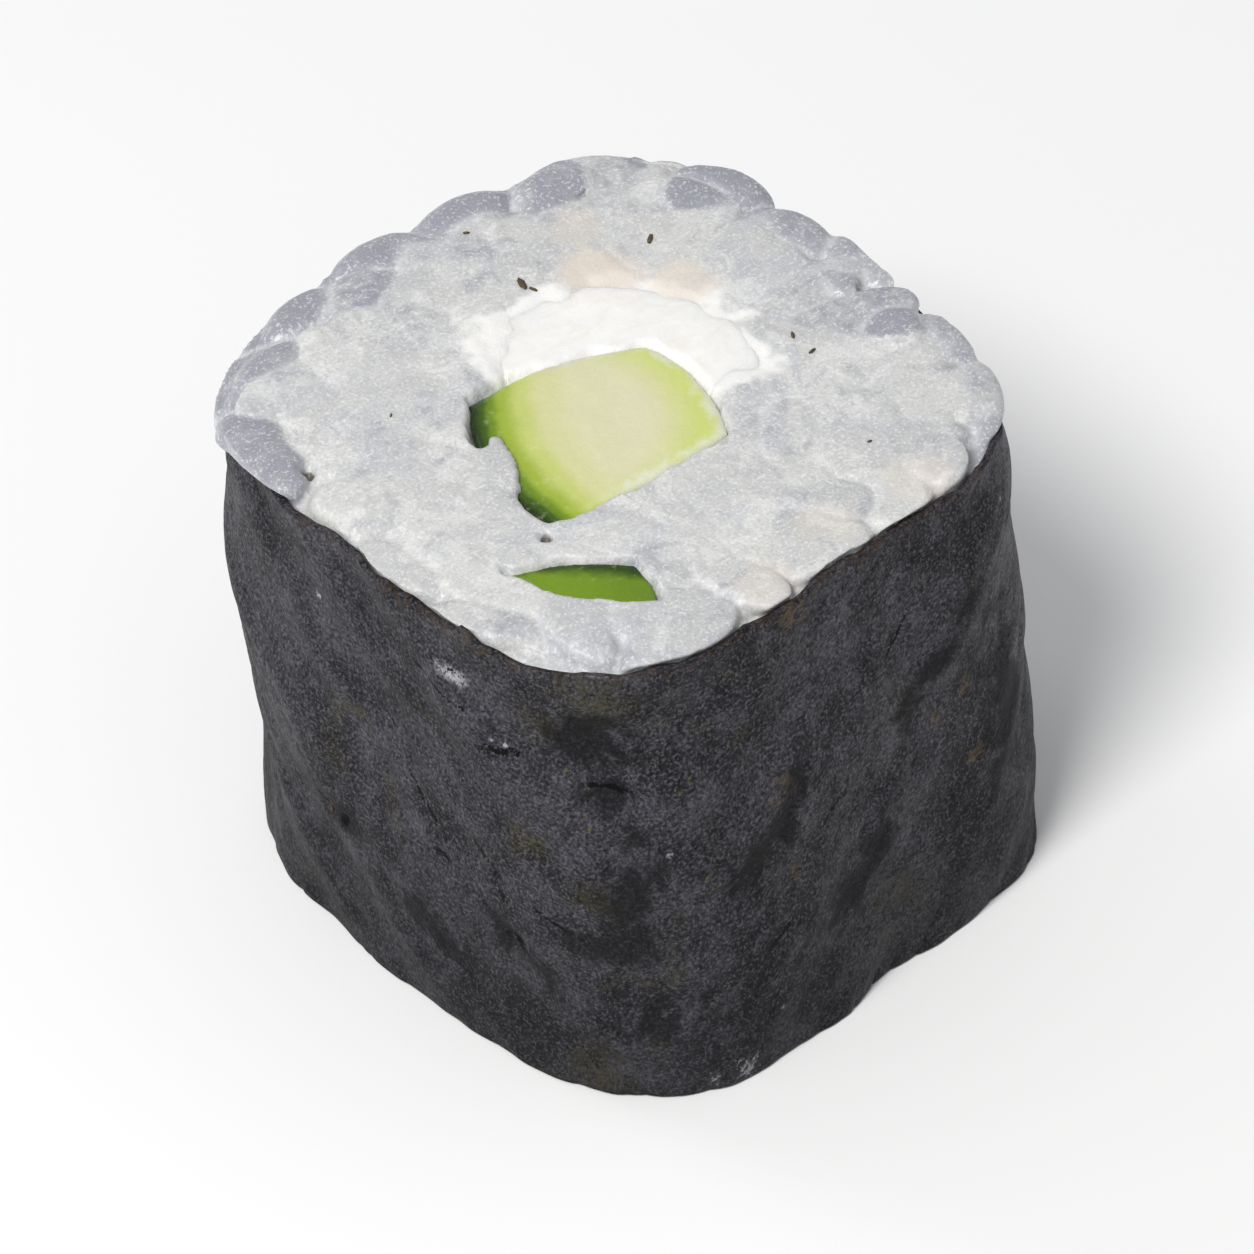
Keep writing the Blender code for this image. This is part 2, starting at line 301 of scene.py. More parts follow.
def flat_grid(sides, rows):
    """A grid to roll up: its mesh, and each point's angle and share of the height."""
    bm = bmesh.new()
    bmesh.ops.create_grid(bm, x_segments=sides, y_segments=rows, size=0.5)
    flat = np.array([vert.co for vert in bm.verts])
    return bm, (flat[:, 0] + 0.5) * math.tau, flat[:, 1] + 0.5


def roll_up(bm, spots, height):
    """Moves a grid's points into place, and joins the two sides that meet."""
    for vert, (x, y), z in zip(bm.verts, spots, height):
        vert.co = (x, y, z)
    bmesh.ops.remove_doubles(bm, verts=bm.verts, dist=WELD)


# The nori sheet.


def sheet_relief(points):
    """How far the sheet stands out over the plain wall at points near it: broad waves,
    the grains behind it, slanting folds that run down to the front ridge, and dents."""
    angle, _ = wall_place(points)
    height = points[:, 2]
    relief = 0.12 * MM * noise_at(points, 8, 3)
    relief += 0.09 * MM * noise_at(points, 2.9, 11, (0.65, 0.65, 1))
    ridge = angle_gap(angle, FRONT_RIDGE)
    girth = np.abs(ridge) * WALL_GIRTH
    slanted = np.column_stack((height - girth, (height + girth) * 0.25, ridge * 4 * MM))
    relief += 0.50 * MM * noise_at(slanted, 5.0, 8)
    relief += 0.13 * MM * noise_at(slanted, 1.8, 9)
    creases = 1 - 6 * np.abs(noise_at(slanted, 3.0, 23))
    relief -= 0.08 * MM * np.maximum(0, creases) ** 2
    relief += 0.022 * MM * noise_at(points, 0.9, 5)
    for degrees, dent_height, radius, depth in NORI_DENTS:
        along = angle_gap(angle, math.radians(degrees)) * WALL_GIRTH
        gap = np.hypot(along, height - dent_height * MM)
        relief -= depth * MM * np.exp(-((gap / (radius * MM)) ** 2))
    return np.maximum(relief, -0.55 * MM)


# Dents and pits in the sheet: degrees round, height, radius and depth in millimetres.
NORI_DENTS = (
    (223, 20.2, 1.7, 0.55), (225.5, 17.5, 0.7, 0.25), (210, 18.6, 0.8, 0.22),
    (165.6, 7.7, 0.5, 0.35), (170, 7.8, 0.4, 0.30), (194.5, 9.6, 0.4, 0.30),
    (205.5, 10.7, 0.35, 0.28), (208, 7.5, 0.45, 0.25), (229, 5.7, 1.6, 0.30),
    (254, 10.2, 2.0, 0.28), (286, 14.8, 2.4, 0.35), (275, 5.1, 1.6, 0.30),
    (180, 15.0, 2.2, 0.25), (196, 4.2, 1.8, 0.25), (30, 12.0, 2.2, 0.30), (72, 8.0, 2.4, 0.35),
    (110, 15.0, 2.0, 0.30), (140, 6.0, 1.6, 0.25),
)


def make_nori(material):
    bm, angle, share = flat_grid(SHEET_SIDES, SHEET_ROWS)
    rim = rim_height(angle) + 0.08 * MM * np.sin(37 * angle) * np.sin(11 * angle + 1)
    # A torn tongue of the sheet stands up over the rim.
    tongue = smooth_step(-0.060, -0.035, angle_gap(angle, TONGUE_SIDE))
    tongue *= smooth_step(0.020, 0.0, angle_gap(angle, TONGUE_SIDE))
    rim = rim + TONGUE_RISE * tongue
    height = SHEET_FOOT + share * (rim - SHEET_FOOT)
    turn = angle_gap(angle, 0)
    doubled = smooth_step(OVERLAP_FROM, OVERLAP_FROM + 0.12, turn)
    doubled *= 1 - smooth_step(OVERLAP_TO - 0.012, OVERLAP_TO + 0.012, turn)
    base = np.column_stack((wall_points(angle, height), height))
    relief = sheet_relief(base) + OVERLAP_RISE * doubled
    relief += 0.05 * MM * noise_at(base, 1.6, 40) * smooth_step(0.9, 1, share)
    relief -= smooth_step(0.92, 1.0, share) * (0.40 * far_share(angle) - 0.1 - 0.2 * tongue) * MM
    roll_up(bm, wall_points(angle, height, -relief), height)
    bmesh.ops.recalc_face_normals(bm, faces=bm.faces)
    sheet = add_piece("nori_sheet", bm, material)
    wall = {"thickness": SHEET_THICKNESS, "offset": -1, "use_even_offset": False, "use_rim": True}
    apply_modifier(sheet, "SOLIDIFY", **wall)
    return sheet


# Pressed rice.


def press_together(spot, heading, reach, radius, held, room, fillings, rounds=70):
    """Pushes overlapping grains apart until they lie side by side. Each grain is three
    discs in a row, and the held ones stay where they are."""
    steps = np.array((-1.0, 0.0, 1.0))
    owner = np.repeat(np.arange(len(spot)), 3)
    other = owner[:, None] != owner[None]
    size = np.repeat(radius, 3)
    probe = 0.2 * MM
    most_turn = 0.2
    for _ in range(rounds):
        along = np.stack((np.cos(heading), np.sin(heading)), axis=1)
        offset = steps[None, :, None] * reach[:, None, None] * along[:, None]
        discs = (spot[:, None] + offset).reshape(-1, 2)
        apart = discs[:, None] - discs[None]
        gap = np.linalg.norm(apart, axis=2) + 1e-9
        over = np.clip((size[:, None] + size[None]) * TIGHTNESS - gap, 0, None) * other
        push = (apart / gap[..., None] * over[..., None]).sum(1) * 0.5
        outside = np.clip(signed_distance(discs, room), 0, None)
        middle = discs - CENTRE
        push -= middle / np.linalg.norm(middle, axis=1, keepdims=True) * outside[:, None] * 1.5
        for filling, clearance in fillings:
            away = signed_distance(discs, filling)
            ahead = [signed_distance(discs + step * probe, filling) - away for step in np.eye(2)]
            slope = np.stack(ahead, axis=1)
            slope /= np.linalg.norm(slope, axis=1, keepdims=True) + 1e-12
            push += slope * np.clip(clearance - away, 0, None)[:, None]
        push = push.reshape(-1, 3, 2)
        moved = push.sum(1) * 0.5
        twist = (offset[..., 0] * push[..., 1] - offset[..., 1] * push[..., 0]).sum(1)
        spot = spot + moved * ~held[:, None]
        twist /= 2 * reach**2 + radius**2
        heading = heading + np.clip(twist, -most_turn, most_turn) * ~held
    return spot, heading


# Grains laid on the upper face: across, away, heading in degrees, sink, tilt.
# The first three lie over the edge of the cucumber.
LAID_GRAINS = (
    (-5.1, -5.35, 97, 1.1, -5), (0.9, -8.2, 9, 1.1, 4), (-5.4, -8.95, 14, 1.12, 3),
    (-14.9, 2.3, 50, 0.95, -4), (-13.0, 6.4, 42, 0.95, 4), (-6.3, 13.5, 35, 1.0, 3),
    (-1.2, 16.0, 14, 0.95, -3), (4.9, 15.2, -20, 0.95, 3), (-9.6, 10.6, 30, 1.0, 5),
    (11.2, 10.0, -40, 1.0, 3), (14.9, 4.6, -55, 1.0, 0), (16.2, 0.4, -88, 1.1, 3),
)
LAID_OVER_CUCUMBER = 3

# Small pits where grains meet on the upper face: across, away, radius.
RICE_PITS = ((-13.1, -4.7, 0.36), (-2.65, -9.3, 0.30), (9.9, -14.0, 0.3))


def lay_grains(draw, up):
    """Where the grains of one cut face lie: places, headings, tilts, how far they sink,
    their scale and how far they are from the edge. The laid grains come first."""
    face_height = PIECE_HEIGHT if up > 0 else 0.0
    turns = np.linspace(0, math.tau, 200, endpoint=False)
    outline = wall_points(turns, np.full(200, face_height))
    room = wall_points(turns, np.full(200, face_height), ROOM_INSET)
    fillings = [
        (arc_chain(CUCUMBER_ARCS), CLEAR_OF_CUCUMBER),
        (arc_chain(STRIP_ARCS), CLEAR_OF_CUCUMBER),
        (arc_chain(CHEESE_ARCS), CLEAR_OF_CHEESE),
    ]
    spots = []
    headings = []
    sinks = []
    tilts = []
    held = []
    if up > 0:
        for across, away, heading, sink, tilt in LAID_GRAINS:
            spots.append(seen_from_front(across, away))
            headings.append(math.radians(heading) + CAMERA_TURN)
            sinks.append(sink * MM)
            tilts.append(math.radians(tilt))
            held.append(True)
    laid = np.array(spots) if spots else np.full((1, 2), 9.0)
    for i in range(RIM_GRAINS):
        angle = math.tau * (i + draw.uniform(-0.25, 0.25)) / RIM_GRAINS
        whole = far_share(angle) if up > 0 else 0.5
        inset = 1.5 * MM - overhang(angle) * (up > 0)
        spot = wall_points(np.array([angle]), np.array([face_height]), np.array([inset]))[0]
        if np.linalg.norm(laid - spot, axis=1).min() < LAID_GAP:
            continue
        ahead = wall_points(np.array([angle + 0.1]), np.array([face_height]), np.array([inset]))[0]
        spots.append(spot)
        turned = draw.uniform(-1, 1) * (0.9 - 0.55 * whole)
        headings.append(math.atan2(*(ahead - spot)[::-1]) + turned)
        sinks.append((draw.uniform(0.5, 0.85) + 0.2 * whole) * MM)
        tilts.append(draw.uniform(-0.2, 0.2))
        held.append(draw.random() < 0.6)
    while len(spots) < len(LAID_GRAINS) * (up > 0) + RIM_GRAINS + FIELD_GRAINS:
        spot = CENTRE + draw.uniform(-GRAIN_FIELD, GRAIN_FIELD, 2) * MM
        blocked = [signed_distance(spot[None], filling)[0] < 0.4 * MM for filling, _ in fillings]
        if signed_distance(spot[None], room)[0] > 0 or any(blocked):
            continue
        slanted = draw.random() < 0.3
        spots.append(spot)
        headings.append(draw.uniform(0, math.pi))
        tilts.append(draw.uniform(0.35, 0.9) if slanted else draw.uniform(-0.2, 0.2))
        sinks.append(draw.uniform(0.4, 0.95) * MM)
        held.append(False)
    spots = np.array(spots)
    headings = np.array(headings)
    tilts = np.array(tilts)
    sinks = np.array(sinks)
    scale = draw.uniform(0.88, 1.08, len(spots))
    reach = 1.75 * MM * scale * np.cos(tilts)
    radius = 1.48 * MM * scale
    spots, headings = press_together(
        spots, headings, reach, radius, np.array(held), room, fillings
    )
    edge = -signed_distance(spots, outline)
    return spots, headings, tilts, sinks, scale, edge


def turn_matrix(heading, tilt, roll):
    """Rotation that rolls a grain, tilts its nose and points it at a heading."""
    turn = np.eye(3)
    for angle, first, second in ((heading, 0, 1), (tilt, 2, 0), (roll, 1, 2)):
        step = np.eye(3)
        step[first, first] = step[second, second] = math.cos(angle)
        step[second, first] = math.sin(angle)
        step[first, second] = -math.sin(angle)
        turn = turn @ step
    return turn


# Starch paste between the grains: inset from the nori, and its depth from and to.
PASTE_STEPS = (
    (0.62, 0.8, 3.4), (1.3, 0.5, 2.0), (2.2, 0.36, 1.4), (3.2, 0.27, 1.2), (4.6, 0.2, 1.0),
)


class RiceFace:
    """The grains of one cut face, as a mesh and as a field of soft distances."""

    def __init__(self, up, seed):
        self.up = up
        self.plane = PIECE_HEIGHT if up > 0 else 0.0
        draw = np.random.default_rng(seed)
        spots, headings, tilts, sinks, scale, edge = lay_grains(draw, up)
        self.grains = []
        self.clear = []
        angles = wall_place(np.column_stack((spots, np.full(len(spots), self.plane))))[0]
        whole = far_share(angles) if up > 0 else np.full(len(spots), 0.4)
        inner = 1 - (1 - smooth_step(1.2 * MM, 3.6 * MM, edge)) * whole
        for i, spot in enumerate(spots):
            middle = np.array((*spot, self.plane - up * sinks[i]))
            half = GRAIN_HALF * scale[i] * draw.uniform((0.94, 0.94, 0.94), (1.06, 1.06, 1.06))
            knife = -abs(draw.normal(0, 0.07)) * MM * (0.35 + 0.65 * inner[i])
            self.add(draw, middle, headings[i], tilts[i], half, knife, inner[i])
            clear = (1 - inner[i]) * draw.uniform(0.55, 1.1) + draw.uniform(0, 0.35)
            self.clear.append(min(1.0, clear))
        room = wall_ring(120, self.plane, 2.2 * MM)
        while len(self.grains) < len(spots) + LOWER_GRAINS:
            spot = CENTRE + draw.uniform(-GRAIN_FIELD, GRAIN_FIELD, 2) * MM
            if signed_distance(spot[None], room)[0] > 0:
                continue
            middle = np.array((*spot, self.plane - up * draw.uniform(1.9, 2.9) * MM))
            heading = draw.uniform(0, math.pi)
            self.add(draw, middle, heading, draw.uniform(-0.4, 0.4), GRAIN_HALF, 0, 1)
            self.clear.append(draw.uniform(0.3, 0.8))
        columns = (np.array(column) for column in zip(*self.grains))
        self.middles, self.turns, self.halves, self.knives, self.squeezes, self.tone = columns

    def add(self, draw, middle, heading, tilt, half, knife, inner):
        """One grain. The knife's height and slant are where it was cut flat."""
        turn = turn_matrix(heading, tilt * self.up, draw.uniform(-0.5, 0.5))
        cut = (knife, *(draw.normal(0, 0.02, 2) * (0.5 + inner)))
        self.grains.append((middle, turn, half, cut, 0.26 - 0.18 * inner, draw.uniform(0, 1)))

    def grain_points(self, i, unit):
        """One grain's points, bent a little, and pressed flat where the knife passed."""
        shape = unit.copy()
        shape[:, 1:] *= (1 - 0.12 * np.abs(unit[:, :1]) ** 3) * (1 + 0.06 * unit[:, :1])
        shape[:, 2] -= 0.12 * (unit[:, 0] ** 2 - 0.3)
        points = (shape * self.halves[i]) @ self.turns[i].T + self.middles[i]
        knife, slant_x, slant_y = self.knives[i]
        level = self.up * (points[:, 2] - self.plane) - knife
        level -= (points[:, 0] - self.middles[i][0]) * slant_x
        level -= (points[:, 1] - self.middles[i][1]) * slant_y
        over = np.maximum(level, 0)
        points[:, 2] -= self.up * over * (1 - self.squeezes[i])
        return points

    def mesh(self, name, material):
        """The grains and the starch paste between them, still as separate shells."""
        bm = bmesh.new()
        for i in range(len(self.middles)):
            made = bmesh.ops.create_icosphere(bm, subdivisions=3, radius=1)["verts"]
            unit = np.array([vert.co for vert in made])
            for vert, point in zip(made, self.grain_points(i, unit)):
                vert.co = point
        steps = 160
        turns = np.linspace(0, math.tau, steps, endpoint=False)
        reach = overhang(turns) if self.up > 0 else np.full(steps, 0.1 * MM)
        for inset, near, far in PASTE_STEPS:
            low, high = sorted(self.plane - self.up * depth * MM for depth in (near, far))
            add_bar(bm, wall_ring(steps, low, inset * MM - reach), low, high)
        bmesh.ops.recalc_face_normals(bm, faces=bm.faces)
        return add_piece(name, bm, material)

    def field(self, points):
        """For each point: its own grain, how much further the next grain is, in metres,
        and how near the point is to the middle of its own grain."""
        best = np.full((len(points), 2), np.inf)
        owner = np.zeros(len(points), int)
        for i, (middle, turn, half) in enumerate(zip(self.middles, self.turns, self.halves)):
            near = np.where(np.linalg.norm(points - middle, axis=1) < 1.6 * half[0])[0]
            if not len(near):
                continue
            inside = (points[near] - middle) @ turn
            reach = np.linalg.norm(inside / half, axis=1) * half[1]
            first = reach < best[near, 0]
            second = ~first & (reach < best[near, 1])
            best[near[first], 1] = best[near[first], 0]
            best[near[first], 0] = reach[first]
            owner[near[first]] = i
            best[near[second], 1] = reach[second]
        gap = np.where(np.isfinite(best[:, 1]), best[:, 1] - best[:, 0], half[1])
        return owner, gap, best[:, 0] / self.halves[owner, 1]


def give_way(points, outline, depth, up=1, spare=0.0, raggedness=0.38 * MM, width=0.30 * MM):
    """Sinks points that lie this far inside a filling's outline, along a ragged edge."""
    plane = PIECE_HEIGHT if up > 0 else 0.0
    near = np.where(in_box(points, outline) & (up * (points[:, 2] - plane) > -2 * MM))[0]
    if not len(near):
        return
    ragged = raggedness * noise_at(points[near], 1.5, 61)
    ragged += 0.15 * MM * noise_at(points[near], 0.6, 63)
    gap = signed_distance(points[near, :2], outline) + ragged + spare
    points[near, 2] -= up * depth * smooth_step(0.10 * MM, 0.10 * MM - width, gap)


def in_box(points, outline):
    """Which points lie within 3 mm of an outline's box."""
    low = outline.min(axis=0) - 3 * MM
    high = outline.max(axis=0) + 3 * MM
    return ((points[:, :2] > low) & (points[:, :2] < high)).all(axis=1)


def make_rice_face(name, up, voxel, budget, material):
    """One cut face of the roll: its grains fused by starch, with a soft groove between them."""
    face = RiceFace(up, SEED + (up < 0))
    piece = face.mesh(name, material)
    apply_modifier(piece, "REMESH", mode="VOXEL", voxel_size=voxel, adaptivity=0)
    points = points_of(piece)
    depth = up * (face.plane - points[:, 2])
    shown = 1 - smooth_step(1.2 * MM, 2.2 * MM, depth)
    owner, gap, reach = face.field(points)
    angle, distance = wall_place(points)
    inset = wall_radius(angle, points[:, 2] / PIECE_HEIGHT) - distance
    middle = smooth_step(1.2 * MM, 4.0 * MM, inset)
    smear = smooth_step(-0.3, 0.3, noise_at(points, 5.5, 7))
    # The knife drags starch over the middle, which fills the shallow hollows.
    kept = 1 - middle * (0.45 + 0.35 * smear)
    shallow = np.minimum(depth, 0.5 * MM)
    deeper = np.clip(depth - 0.5 * MM, 0, 0.5 * MM)
    pressed = shallow * kept + deeper * (2 - kept) + np.maximum(depth - 1.0 * MM, 0)
    points[:, 2] = face.plane - up * pressed
    groove = (0.12 - 0.09 * middle) * MM * np.exp(-((gap / (0.30 * MM)) ** 2))
    groove -= noise_at(points, 1.3, 17) * 0.035 * MM
    groove -= noise_at(points, 0.5, 19) * 0.014 * MM
    points[:, 2] -= up * groove * shown
    if up > 0:
        for across, away, radius in RICE_PITS:
            spot = seen_from_front(across, away)
            away_from = np.linalg.norm(points[:, :2] - spot, axis=1) / (radius * MM)
            points[:, 2] -= 0.7 * MM * np.exp(-(away_from**2)) * shown
    laid_over = (owner < LAID_OVER_CUCUMBER) & (up > 0) & (reach < 1.06)
    before = points[laid_over].copy()
    give_way(points, arc_chain(CHEESE_ARCS), 0.36 * MM, up, -0.7 * MM, 0.9 * MM, 2.4 * MM)
    for arcs, spare in ((CUCUMBER_ARCS, 0.1 * MM), (STRIP_ARCS, 0.02 * MM)):
        give_way(points, arc_chain(arcs), 0.9 * MM, up, -spare)
    points[laid_over] = before
    points = inside_the_nori(points, up)
    if up < 0:
        points[:, 2] = np.maximum(points[:, 2], 0.02 * MM)
    move_points(piece, points)
    apply_modifier(piece, "SMOOTH", factor=0.5, iterations=1)
    count = sum(len(polygon.vertices) - 2 for polygon in piece.data.polygons)
    if count > budget:
        apply_modifier(piece, "DECIMATE", ratio=budget / count)
    points = points_of(piece)
    owner, gap, _ = face.field(points)
    store(piece, "tone", face.tone[owner])
    store(piece, "clear", np.array(face.clear)[owner])
    store(piece, "groove", np.exp(-((gap / (0.22 * MM)) ** 2)))
    smeared = signed_distance(points[:, :2], arc_chain(CHEESE_ARCS))
    smeared += 1.3 * MM * noise_at(points, 1.6, 71) + 0.6 * MM * noise_at(points, 0.6, 72)
    store(piece, "cheesy", smooth_step(1.0 * MM, 0.1 * MM, smeared))
    return piece


def inside_the_nori(points, up):
    """Keeps rice inside the sheet, and lets it swell over the upper rim."""
    angle, distance = wall_place(points)
    wall = wall_radius(angle, np.clip(points[:, 2] / PIECE_HEIGHT, 0, 1))
    outer = np.where(distance > wall - WALL_ZONE)[0]
    most = wall - 1.0 * MM
    most[outer] = wall[outer] + sheet_relief(points[outer]) - SHEET_THICKNESS - 0.10 * MM
    if up > 0:
        over = smooth_step(-0.25 * MM, 0.55 * MM, points[:, 2] - rim_height(angle))
        most = most + over * (overhang(angle) + SHEET_THICKNESS - pocket_depth(angle))
    spare = distance - most
    excess = np.maximum(spare, -SOFT_LIMIT) + SOFT_LIMIT
    eased = most - SOFT_LIMIT * np.exp(-excess / SOFT_LIMIT)
    held = (spare > -SOFT_LIMIT) & (distance > wall - WALL_ZONE)
    share = np.where(held, eased / distance, 1)
    axis = CENTRE + np.multiply.outer(0.5 - points[:, 2] / PIECE_HEIGHT, LEAN)
    points = points.copy()
    points[:, :2] = axis + (points[:, :2] - axis) * share[:, None]
    return points


def make_rice_core(material):
    """The rice between the two cut faces, out of sight inside the nori."""
    bm, angle, share = flat_grid(120, 6)
    height = 2.6 * MM + share * (PIECE_HEIGHT - 5.2 * MM)
    roll_up(bm, wall_points(angle, height, 1.1 * MM), height)
    bmesh.ops.holes_fill(bm, edges=bm.edges)
    bmesh.ops.recalc_face_normals(bm, faces=bm.faces)
    core = add_piece("rice_middle", bm, material)
    core.data.set_sharp_from_angle(angle=math.radians(40))
    return core


# Dark crumbs on the upper face: across, away, heading in degrees, half length.
CRUMBS = (
    (-3.8, 8.0, -25, 0.55), (-3.3, 7.6, -40, 0.25), (1.9, 11.2, 5, 0.40), (8.2, 4.4, -60, 0.28),
    (9.05, 3.3, 70, 0.26), (2.2, 6.7, -75, 0.45), (-9.5, -1.2, 20, 0.14),
    (11.5, -3.0, 50, 0.14), (-6.3, 11.6, 10, 0.18),
)


def make_crumbs(surface, material):
    """Flakes of nori and crumbs of skin that the knife left on the rice."""
    bm = bmesh.new()
    bm.from_mesh(surface.data)
    tree = BVHTree.FromBMesh(bm)
    bm.free()
    bm = bmesh.new()
    for across, away, heading, length in CRUMBS:
        x, y = seen_from_front(across, away)
        hit, normal, _, _ = tree.ray_cast(Vector((x, y, 2 * PIECE_HEIGHT)), Vector((0, 0, -1)))
        made = bmesh.ops.create_icosphere(bm, subdivisions=1, radius=MM)
        turn = Matrix.Rotation(math.radians(heading) + CAMERA_TURN, 4, "Z")
        shape = Matrix.Diagonal((length, 0.35 * length, 0.09, 1))
        lean = normal.to_track_quat("Z", "Y").to_matrix().to_4x4()
        place = Matrix.Translation(hit + normal * 0.03 * MM)
        bmesh.ops.transform(bm, matrix=place @ lean @ turn @ shape, verts=made["verts"])
    return add_piece("nori_crumbs", bm, material)


# Fillings.


def make_filling(name, arcs, sizes, material, under=None):
    """A filling cut flush at both ends, with softened edges and a little relief.
    It gives way to another filling that it lies under."""
    top_sink, voxel, grain, dish = np.array(sizes) * MM
    outline = arc_chain(arcs)
    bm = bmesh.new()
    add_bar(bm, outline, 0.02 * MM, PIECE_HEIGHT - top_sink)
    bmesh.ops.recalc_face_normals(bm, faces=bm.faces)
    piece = add_piece(name, bm, material)
    apply_modifier(piece, "REMESH", mode="VOXEL", voxel_size=voxel, adaptivity=0)
    points = points_of(piece)
    edge = -signed_distance(points[:, :2], outline)
    top = smooth_step(PIECE_HEIGHT - 1.2 * MM, PIECE_HEIGHT - top_sink - 0.05 * MM, points[:, 2])
    points[:, 2] += top * grain * noise_at(points, 1.3, 29)
    points[:, 2] += top * 2 * grain * noise_at(points, 4, 31)
    points[:, 2] += top * 0.4 * grain * noise_at(points, 0.5, 35)
    ragged_edge = edge + 3 * grain * noise_at(points, 1.2, 33)
    points[:, 2] -= top * dish * smooth_step(1.6 * MM, 0, ragged_edge)
    if under is None:
        skin = np.linalg.norm(points[:, :2] - SKIN_MIDDLE * MM - CENTRE, axis=1)
        slope = smooth_step(SKIN_RADIUS - 3.2, SKIN_RADIUS - 0.5, skin / MM)
        points[:, 2] -= top * 0.22 * MM * slope
    else:
        for up in (1, -1):
            give_way(points, arc_chain(under), 0.8 * MM, up)
    move_points(piece, points)
    store(piece, "edge", edge / MM)
    return piece


# Materials.


class Field:
    """A value over a surface. Arithmetic on it adds Math nodes."""

    def __init__(self, finish, socket):
        self.finish = finish
        self.socket = socket

    def math(self, operation, *inputs):
        sockets = dict(enumerate(inputs))
        return self.finish.node("Math", {"operation": operation}, sockets)

    def __add__(self, other):
        return self.math("ADD", self, other)

    def __sub__(self, other):
        return self.math("SUBTRACT", self, other)

    def __rsub__(self, other):
        return self.math("SUBTRACT", other, self)

    def __mul__(self, other):
        return self.math("MULTIPLY", self, other)

    def __pow__(self, other):
        return self.math("POWER", self, other)

    __radd__ = __add__


